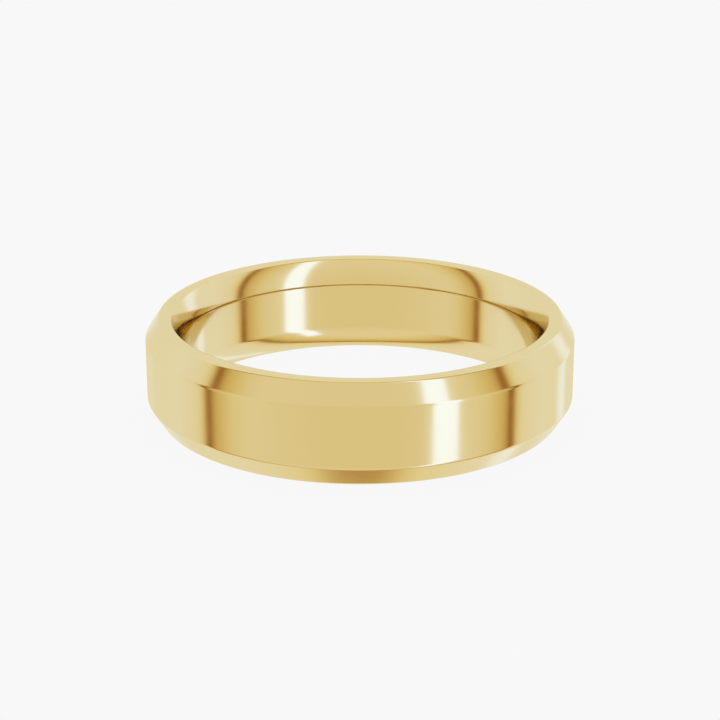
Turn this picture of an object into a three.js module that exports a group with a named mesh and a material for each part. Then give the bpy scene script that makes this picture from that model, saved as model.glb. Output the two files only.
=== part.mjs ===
// Wedding band: one solid ring of yellow gold, bevelled outside and comfort-fit inside.
// Millimetres, the finger axis along +Z, the centre of the ring at the origin.
import * as THREE from 'three';

// Driving sizes.
const INNER_DIAMETER = 17.3; // the bore, where the finger touches
const WALL = 1.92; // from the bore to the flat outside, along the radius
const BAND_WIDTH = 5.0; // from rim to rim, along the finger
const OUTER_FLAT_WIDTH = 2.95; // the plain cylinder round the middle of the outside
const BEVEL_DROP = 0.66; // how far each bevel falls towards the axis
const RIM_WIDTH = 0.31; // the flat of each rim, along the radius
const BORE_WIDTH = 2.26; // the straight middle of the inside
const BORE_EDGE_ROUND = 0.65; // radius that leads from the bore into a flare
const FLARE_ROUND = 3.0; // radius of a flare's own curve, out to the rim's edge
const INNER_EDGE_ROUND = 0.28; // edge between a flare and a rim
const OUTER_EDGE_ROUND = 0.22; // edge between a rim and a bevel
const FLAT_EDGE_ROUND = 0.25; // edge between a bevel and the outer flat

// Facets: how finely the curves are cut, not how large they are.
const SEGMENTS = 96; // round the ring
const FACET_TURN = 10; // most that one facet of the section may turn, degrees

const boreRadius = INNER_DIAMETER / 2;
const outerRadius = boreRadius + WALL;
const halfWidth = BAND_WIDTH / 2;

// The point of a circle where its outward normal rises at that angle above the radius.
function onCircle(centre, radius, rise) {
  return new THREE.Vector2(Math.cos(rise), Math.sin(rise)).multiplyScalar(radius).add(centre);
}

// Points along an arc from one rise to another. No turn at all gives no points.
function arc(centre, radius, fromRise, toRise) {
  const turn = toRise - fromRise;
  const steps = Math.ceil(Math.abs(turn) / THREE.MathUtils.degToRad(FACET_TURN));
  const points = [];
  for (let i = 1; i <= steps; i += 1) {
    points.push(onCircle(centre, radius, fromRise + (turn * i) / steps));
  }
  return points;
}

// The angle to the finger axis at which a flare leaves the round at the bore's end,
// chosen so that the flare also runs smoothly into the round at the rim's inner edge.
function flareStartLean(boreRound, rimRound) {
  const across = rimRound.clone().sub(boreRound);
  const toBore = FLARE_ROUND - BORE_EDGE_ROUND;
  const toRim = FLARE_ROUND - INNER_EDGE_ROUND;
  const reach = (toBore ** 2 + across.lengthSq() - toRim ** 2) / (2 * toBore);
  const opening = Math.acos(THREE.MathUtils.clamp(reach / across.length(), -1, 1));
  return Math.max(0, opening - across.angle());
}

// The upper half of the inside, from the bore up to the flat of the rim.
function insidePoints(rimOuterRadius) {
  const rimInnerRadius = rimOuterRadius - RIM_WIDTH;
  const boreRound = new THREE.Vector2(boreRadius + BORE_EDGE_ROUND, BORE_WIDTH / 2);
  const rimRound = new THREE.Vector2(rimInnerRadius, halfWidth - INNER_EDGE_ROUND);
  const startLean = flareStartLean(boreRound, rimRound);
  const flareCentre = onCircle(boreRound, FLARE_ROUND - BORE_EDGE_ROUND, -startLean);
  const climb = rimRound.y - flareCentre.y;
  const endLean = Math.asin(climb / (FLARE_ROUND - INNER_EDGE_ROUND));
  const edgeCentre = onCircle(flareCentre, FLARE_ROUND - INNER_EDGE_ROUND, Math.PI - endLean);
  return [
    new THREE.Vector2(boreRadius, BORE_WIDTH / 2),
    ...arc(boreRound, BORE_EDGE_ROUND, Math.PI, Math.PI - startLean),
    ...arc(flareCentre, FLARE_ROUND, Math.PI - startLean, Math.PI - endLean),
    ...arc(edgeCentre, INNER_EDGE_ROUND, Math.PI - endLean, Math.PI / 2),
  ];
}

// A round between two straight sides that would meet at a corner.
// Each side is given by the rise of its outward normal.
function roundedCorner(corner, radius, fromRise, toRise) {
  const back = radius / Math.cos((toRise - fromRise) / 2);
  const centre = onCircle(corner, -back, (fromRise + toRise) / 2);
  return [onCircle(centre, radius, fromRise), ...arc(centre, radius, fromRise, toRise)];
}

// The upper half of the outside, from the edge of the flat up to the rim.
function outsidePoints() {
  const bevelRise = Math.atan2(BEVEL_DROP, halfWidth - OUTER_FLAT_WIDTH / 2);
  const flatEdge = new THREE.Vector2(outerRadius, OUTER_FLAT_WIDTH / 2);
  const rimEdge = new THREE.Vector2(outerRadius - BEVEL_DROP, halfWidth);
  return [
    ...roundedCorner(flatEdge, FLAT_EDGE_ROUND, 0, bevelRise),
    ...roundedCorner(rimEdge, OUTER_EDGE_ROUND, bevelRise, Math.PI / 2),
  ];
}

// The whole cross-section as a closed line. The lower half mirrors the upper.
function crossSection() {
  const outside = outsidePoints();
  const inside = insidePoints(outside[outside.length - 1].x);
  const upper = [...outside, ...inside.reverse()];
  const lower = upper.map((point) => new THREE.Vector2(point.x, -point.y)).reverse();
  return [...lower, ...upper, lower[0].clone()];
}

const band = new THREE.Mesh(
  new THREE.LatheGeometry(crossSection(), SEGMENTS),
  new THREE.MeshStandardMaterial({ color: 0xe9cf8f, roughness: 0.08, metalness: 1.0 }),
);
band.name = 'band';
band.geometry.rotateX(Math.PI / 2); // the lathe turns about Y, the finger axis is Z

const weddingBand = new THREE.Group();
weddingBand.name = 'wedding_band';
weddingBand.add(band);

export default weddingBand;
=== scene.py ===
"""A polished yellow-gold wedding band with a flat outside, bevelled edges and a comfort-fit inside.

Metres, the finger axis along +Z, the centre of the ring at the origin.
"""

import math

import bpy
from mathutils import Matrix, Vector


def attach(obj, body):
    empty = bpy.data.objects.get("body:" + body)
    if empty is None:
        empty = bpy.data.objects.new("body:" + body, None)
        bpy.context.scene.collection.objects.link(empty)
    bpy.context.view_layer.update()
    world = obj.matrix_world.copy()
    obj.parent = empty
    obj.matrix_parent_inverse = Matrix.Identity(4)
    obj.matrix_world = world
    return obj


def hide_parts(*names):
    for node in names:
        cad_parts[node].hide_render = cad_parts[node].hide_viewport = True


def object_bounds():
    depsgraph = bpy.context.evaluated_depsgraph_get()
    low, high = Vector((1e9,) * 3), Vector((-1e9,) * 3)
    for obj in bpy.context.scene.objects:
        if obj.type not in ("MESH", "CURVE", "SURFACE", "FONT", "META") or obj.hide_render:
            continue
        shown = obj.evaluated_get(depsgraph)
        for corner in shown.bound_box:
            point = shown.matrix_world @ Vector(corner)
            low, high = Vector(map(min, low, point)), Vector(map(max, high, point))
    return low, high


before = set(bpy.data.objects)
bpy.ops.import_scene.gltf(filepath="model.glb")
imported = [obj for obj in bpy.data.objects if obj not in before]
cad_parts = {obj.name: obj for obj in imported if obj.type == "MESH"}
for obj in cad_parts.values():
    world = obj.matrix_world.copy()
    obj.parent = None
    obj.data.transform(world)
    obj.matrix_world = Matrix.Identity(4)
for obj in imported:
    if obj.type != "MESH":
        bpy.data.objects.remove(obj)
cad_low, cad_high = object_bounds()

MM = 0.001

# ---------------------------------------------------------------- sizes of the ring, in millimetres
OUTER_RADIUS = cad_high.x / MM
HALF_WIDTH = cad_high.z / MM
BORE_RADIUS = 8.65
HALF_BORE = 1.13  # half the width of the straight middle of the inside
HALF_FLAT = 1.475  # half the width of the plain cylinder round the outside
BEVEL_DROP = 0.66  # how far each bevel falls towards the axis
RIM_WIDTH = 0.31  # the flat of each rim, along the radius
BORE_EDGE_ROUND = 0.65  # leads from the bore into a flare
FLARE_ROUND = 3.0  # a flare's own curve, out to the rim's edge
INNER_EDGE_ROUND = 0.28  # edge between a flare and a rim
OUTER_EDGE_ROUND = 0.22  # edge between a rim and a bevel
FLAT_EDGE_ROUND = 0.25  # edge between a bevel and the outer flat

SEGMENTS = 720  # round the ring
FACET_TURN = math.radians(3)  # most that one facet of the section may turn
WHEEL_LINES = 0.12  # the room that about three of the polishing wheel's lines take, across the section
POLISH_DEPTH = 0.002  # depth of those lines before the bump's strength lowers it


# ---------------------------------------------------------------- shader nodes
class Sock:
    """A node's output that can be worked with like a number."""

    def __init__(self, nodes, socket):
        self.nodes = nodes
        self.socket = socket

    def __add__(self, other):
        return self.nodes.math("ADD", self, other)

    def __radd__(self, other):
        return self.nodes.math("ADD", other, self)

    def __sub__(self, other):
        return self.nodes.math("SUBTRACT", self, other)

    def __rsub__(self, other):
        return self.nodes.math("SUBTRACT", other, self)

    def __mul__(self, other):
        return self.nodes.math("MULTIPLY", self, other)

    def __rmul__(self, other):
        return self.nodes.math("MULTIPLY", other, self)

    def __truediv__(self, other):
        return self.nodes.math("DIVIDE", self, other)

    def __rtruediv__(self, other):
        return self.nodes.math("DIVIDE", other, self)

    def __neg__(self):
        return self.nodes.math("MULTIPLY", self, -1.0)

    def __abs__(self):
        return self.nodes.math("ABSOLUTE", self)


class Nodes:
    """The nodes of one material or of the world."""

    def __init__(self, tree):
        self.tree = tree
        tree.nodes.clear()

    def add(self, kind, settings=None, sockets=None, out=0):
        """A node of that type: its settings first, then its sockets' values or links."""
        node = self.tree.nodes.new(kind)
        for name, value in (settings or {}).items():
            if name == "stops":
                self.fill_ramp(node.color_ramp, value)
            else:
                setattr(node, name, value)
        for name, value in (sockets or {}).items():
            if isinstance(value, Sock):
                self.tree.links.new(value.socket, node.inputs[name])
            else:
                node.inputs[name].default_value = value
        return Sock(self, node.outputs[out]) if len(node.outputs) else node

    @staticmethod
    def fill_ramp(ramp, stops):
        while len(ramp.elements) < len(stops):
            ramp.elements.new(1.0)
        for element, (place, colour) in zip(ramp.elements, stops):
            element.position = place
            element.color = (*colour, 1.0)

    def math(self, operation, *values):
        return self.add("ShaderNodeMath", {"operation": operation}, dict(enumerate(values)))

    def split(self, vector):
        return [self.add("ShaderNodeSeparateXYZ", None, {0: vector}, out=i) for i in range(3)]

    def join(self, x, y, z):
        return self.add("ShaderNodeCombineXYZ", None, {0: x, 1: y, 2: z})

    def ease(self, value, low, high):
        """0 at low, 1 at high and beyond, with a soft start and end."""
        return self.add(
            "ShaderNodeMapRange",
            {"interpolation_type": "SMOOTHSTEP"},
            {"Value": value, "From Min": low, "From Max": high},
        )

    def blend(self, below, above, share):
        """Colour below, with that share of colour above over it."""
        return self.add("ShaderNodeMix", {"data_type": "RGBA"}, {0: share, 6: below, 7: above}, out=2)

    def noise(self, place, scale, detail=2.0, w=0.0):
        return self.add(
            "ShaderNodeTexNoise",
            {"noise_dimensions": "4D"},
            {"Vector": place, "W": w, "Scale": scale, "Detail": detail, "Roughness": 0.55},
        )


# ---------------------------------------------------------------- polished gold
def polished_gold():
    """Mirror-polished yellow gold: faint wheel lines round the ring, haze and a slight drift of colour."""
    material = bpy.data.materials.new("polished_yellow_gold")
    material.use_nodes = True
    n = Nodes(material.node_tree)

    place = n.add("ShaderNodeTexCoord", out=3)
    x, y, z = n.split(place)
    radius = n.math("SQRT", x * x + y * y)
    around = n.join(x / radius, y / radius, z / (WHEEL_LINES * MM))

    wheel_lines = n.noise(around, 3.0, detail=3.0, w=radius / (WHEEL_LINES * MM))
    haze = n.noise(place, 420.0, detail=3.0)
    drift = n.noise(place, 90.0, detail=1.0, w=4.0)

    colour = n.blend((0.753, 0.594, 0.306, 1.0), (0.767, 0.606, 0.314, 1.0), drift)
    roughness = 0.10 + 0.03 * n.ease(haze, 0.35, 0.7) + 0.012 * wheel_lines
    polish = n.add(
        "ShaderNodeBump",
        None,
        {"Strength": 0.05, "Distance": POLISH_DEPTH * MM, "Height": wheel_lines},
    )
    gold = n.add(
        "ShaderNodeBsdfPrincipled",
        None,
        {
            "Base Color": colour,
            "Metallic": 1.0,
            "Roughness": roughness,
            "Specular Tint": (0.905, 0.865, 0.715, 1.0),
            "Normal": polish,
        },
    )
    n.add("ShaderNodeOutputMaterial", None, {"Surface": gold})
    return material


# ---------------------------------------------------------------- cross-section
def on_circle(centre, radius, rise):
    """The point of a circle whose outward normal rises at that angle above the radius."""
    return (centre[0] + radius * math.cos(rise), centre[1] + radius * math.sin(rise))


def arc(centre, radius, from_rise, to_rise):
    """Points along an arc, both ends among them, each with the outward normal of the circle there."""
    steps = max(1, math.ceil(abs(to_rise - from_rise) / FACET_TURN))
    rises = [from_rise + (to_rise - from_rise) * i / steps for i in range(steps + 1)]
    return [(on_circle(centre, radius, rise), (math.cos(rise), math.sin(rise))) for rise in rises]


def rounded_corner(corner, radius, from_rise, to_rise):
    """A round between two straight sides whose outward normals rise at those angles."""
    back = radius / math.cos((to_rise - from_rise) / 2)
    centre = on_circle(corner, -back, (from_rise + to_rise) / 2)
    return arc(centre, radius, from_rise, to_rise)


def outside_points():
    """From the outer flat up over the bevel to the rim."""
    bevel_rise = math.atan2(BEVEL_DROP, HALF_WIDTH - HALF_FLAT)
    flat_edge = (OUTER_RADIUS, HALF_FLAT)
    rim_edge = (OUTER_RADIUS - BEVEL_DROP, HALF_WIDTH)
    return rounded_corner(flat_edge, FLAT_EDGE_ROUND, 0.0, bevel_rise) + rounded_corner(
        rim_edge, OUTER_EDGE_ROUND, bevel_rise, math.pi / 2
    )


def inside_points(rim_outer_radius):
    """Bore, the round that leads into the flare, the flare, and the rim's inner edge, bottom to top."""
    bore_round = (BORE_RADIUS + BORE_EDGE_ROUND, HALF_BORE)
    rim_round = (rim_outer_radius - RIM_WIDTH, HALF_WIDTH - INNER_EDGE_ROUND)
    across = (rim_round[0] - bore_round[0], rim_round[1] - bore_round[1])
    to_bore = FLARE_ROUND - BORE_EDGE_ROUND
    to_rim = FLARE_ROUND - INNER_EDGE_ROUND
    gap = math.hypot(*across)
    reach = (to_bore**2 + gap**2 - to_rim**2) / (2 * to_bore)
    start_lean = math.acos(reach / gap) - math.atan2(across[1], across[0])
    flare_centre = on_circle(bore_round, to_bore, -start_lean)
    end_lean = math.asin((rim_round[1] - flare_centre[1]) / to_rim)
    lead = arc(bore_round, BORE_EDGE_ROUND, math.pi, math.pi - start_lean)
    flare = arc(flare_centre, FLARE_ROUND, math.pi - start_lean, math.pi - end_lean)
    edge = arc(rim_round, INNER_EDGE_ROUND, math.pi - end_lean, math.pi / 2)
    return lead + flare[1:] + edge[1:]


def cross_section():
    """The closed outline of the ring's section, the lower half a mirror of the upper."""
    outside = outside_points()
    inside = inside_points(outside[-1][0][0])
    upper = outside + inside[::-1]
    lower = [((r, -z), (nr, -nz)) for (r, z), (nr, nz) in reversed(upper)]
    return lower + upper


def revolve(name, section, segments):
    """A ring mesh of that section, with the true normals of its curves."""
    points, normals, faces = [], [], []
    count = len(section)
    for s in range(segments):
        angle = 2 * math.pi * s / segments
        c, w = math.cos(angle), math.sin(angle)
        for (r, z), (nr, nz) in section:
            points.append((r * c * MM, r * w * MM, z * MM))
            normals.append((nr * c, nr * w, nz))
    for s in range(segments):
        this, following = s * count, (s + 1) % segments * count
        for i in range(count):
            j = (i + 1) % count
            faces.append((this + i, following + i, following + j, this + j))
    mesh = bpy.data.meshes.new(name)
    mesh.from_pydata(points, [], faces)
    mesh.shade_smooth()
    mesh.normals_split_custom_set_from_vertices([Vector(v).normalized() for v in normals])
    mesh.update()
    ring = bpy.data.objects.new(name, mesh)
    bpy.context.collection.objects.link(ring)
    return ring


def make_band():
    ring = revolve("gold_band", cross_section(), SEGMENTS)
    ring.data.materials.append(polished_gold())
    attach(ring, "root")
    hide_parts("band")
    return ring


# ---------------------------------------------------------------- studio
# The light from each direction, from straight in front of the ring (-1) to straight behind it (1).
ROOM = [
    (-0.93, (0.91, 0.89, 0.67)),
    (-0.46, (0.955, 0.96, 0.83)),
    (-0.32, (0.92, 0.895, 0.68)),
    (-0.20, (0.84, 0.745, 0.40)),
    (-0.14, (0.775, 0.63, 0.31)),
    (-0.10, (0.62, 0.45, 0.17)),
    (-0.075, (0.34, 0.12, 0.02)),
    (-0.04, (0.34, 0.12, 0.02)),
    (-0.015, (0.58, 0.40, 0.14)),
    (0.00, (0.83, 0.72, 0.36)),
    (0.03, (0.93, 0.92, 0.65)),
    (0.08, (0.985, 1.025, 0.94)),
    (0.25, (1.00, 1.065, 1.17)),
    (0.35, (1.015, 1.10, 1.22)),
    (0.85, (1.01, 1.08, 1.16)),
]
STEEP_SQUEEZE = 0.32  # how much narrower the dark gap is straight up and straight down
KEY_TURN = 45.65  # degrees from straight in front to the middle of the key softbox, by the right
SIDE_TURN = 136.5  # the same for the soft side light


def studio_light():
    """A pale backdrop behind, a warm pale room in front, a dark gap between them, and two softboxes."""
    world = bpy.data.worlds.new("studio")
    world.use_nodes = True
    bpy.context.scene.world = world
    n = Nodes(world.node_tree)
    x, y, z = n.split(n.add("ShaderNodeTexCoord", out=0))

    steep = z * z * z * z
    depth = y / (1.0 - STEEP_SQUEEZE * steep)
    stops = [((place + 1) / 2, colour) for place, colour in ROOM]
    room = n.add("ShaderNodeValToRGB", {"stops": stops}, {"Fac": 0.5 + 0.5 * depth})
    warm_ends = 0.17 * steep
    floor_behind = 0.9 * n.ease(y, 0.80, 0.95) * n.ease(z, -0.2, -0.3)
    cool_front = 0.25 * (z * z) * n.ease(y, -0.15, -0.6)
    room = n.blend(room, (1.10, 0.97, 0.45, 1.0), warm_ends)
    room = n.blend(room, (0.90, 0.80, 0.42, 1.0), floor_behind)
    room = n.blend(room, (0.96, 0.99, 1.35, 1.0), cool_front)

    turn = n.math("ARCTAN2", x, -y) * (180 / math.pi)
    from_key = abs(turn - KEY_TURN)
    above_floor = n.ease(z, -0.90, -0.85)
    upright = above_floor * n.ease(z, 0.97, 0.93)
    glow = n.ease(from_key, 15.0, 7.0) * upright
    key = n.ease(from_key, 8.3, 6.3) * upright
    side = n.ease(abs(turn - SIDE_TURN), 9.5, 1.5) * above_floor * n.ease(z, 0.62, 0.38)
    lit = n.blend(room, (1.08, 1.22, 1.48, 1.0), 0.35 * glow)
    lit = n.blend(lit, (1.275, 1.62, 2.77, 1.0), key)
    lit = n.blend(lit, (1.13, 1.35, 2.05, 1.0), side)

    light = n.add("ShaderNodeBackground", None, {"Color": lit, "Strength": 1.0})
    n.add("ShaderNodeOutputWorld", None, {"Surface": light})


def pale_surface():
    """Plain pale paper that glows evenly by itself, with a painted contact shadow: very slightly darker
    where the ring is close to it.
    """
    material = bpy.data.materials.new("pale_paper")
    material.use_nodes = True
    n = Nodes(material.node_tree)
    # Painted contact shadow: ambient occlusion lowers the paper's glow a little where the ring is near.
    open_air = n.add("ShaderNodeAmbientOcclusion", {"samples": 8}, {"Distance": 3 * MM}, out=1)
    paper_tone_with_painted_shadow = n.blend((0.925, 0.925, 0.925, 1.0), (0.939, 0.939, 0.939, 1.0), open_air)
    paper = n.add("ShaderNodeEmission", None, {"Color": paper_tone_with_painted_shadow, "Strength": 1.0})
    n.add("ShaderNodeOutputMaterial", None, {"Surface": paper})
    return material


def make_backdrop():
    """A round floor that sweeps up into a dome, out of sight of the gold's reflections."""
    floor_level = cad_low.z - 0.02 * MM
    reach, sweep, dome_height, centre = 0.30, 0.15, 0.45, 0.0001
    outline = [(centre, 0.0), (0.05, 0.0), (0.15, 0.0), (reach, 0.0)]
    for i in range(1, 13):
        lean = math.pi / 2 * i / 12
        outline.append((reach + sweep * math.sin(lean), sweep * (1 - math.cos(lean))))
    for i in range(1, 17):
        lean = math.pi / 2 * i / 16
        outline.append(((reach + sweep) * math.cos(lean) + centre, sweep + dome_height * math.sin(lean)))
    segments = 96
    points, faces = [], []
    for r, height in outline:
        for s in range(segments):
            angle = 2 * math.pi * s / segments
            points.append((r * math.cos(angle), r * math.sin(angle), floor_level + height))
    for row in range(len(outline) - 1):
        this, above = row * segments, (row + 1) * segments
        for s in range(segments):
            t = (s + 1) % segments
            faces.append((this + s, this + t, above + t, above + s))
    faces.append(tuple(range(segments))[::-1])
    mesh = bpy.data.meshes.new("backdrop")
    mesh.from_pydata(points, [], faces)
    mesh.shade_smooth()
    backdrop = bpy.data.objects.new("backdrop", mesh)
    bpy.context.collection.objects.link(backdrop)
    mesh.materials.append(pale_surface())
    backdrop.visible_glossy = False
    backdrop.visible_diffuse = False
    backdrop.visible_shadow = False


def make_camera():
    """A long lens, looking down a little at the middle of the ring."""
    rise, distance = math.radians(19.6), 98.69 * MM
    lens = bpy.data.cameras.new("camera")
    lens.sensor_width = 36.0
    lens.lens = 99.18
    lens.clip_start = 0.005
    lens.clip_end = 5.0
    camera = bpy.data.objects.new("camera", lens)
    camera.location = (0.0, -distance * math.cos(rise), distance * math.sin(rise))
    camera.rotation_euler = (math.pi / 2 - rise, 0.0, 0.0)
    bpy.context.collection.objects.link(camera)
    bpy.context.scene.camera = camera


def set_tones():
    """Plain tones, and a limit to how often the ring mirrors itself, for dark inner corners."""
    bpy.context.scene.cycles.glossy_bounces = 5
    view = bpy.context.scene.view_settings
    view.view_transform = "Standard"
    view.look = "None"
    view.exposure = 0.0
    view.gamma = 1.0


make_camera()
make_band()
studio_light()
make_backdrop()
set_tones()
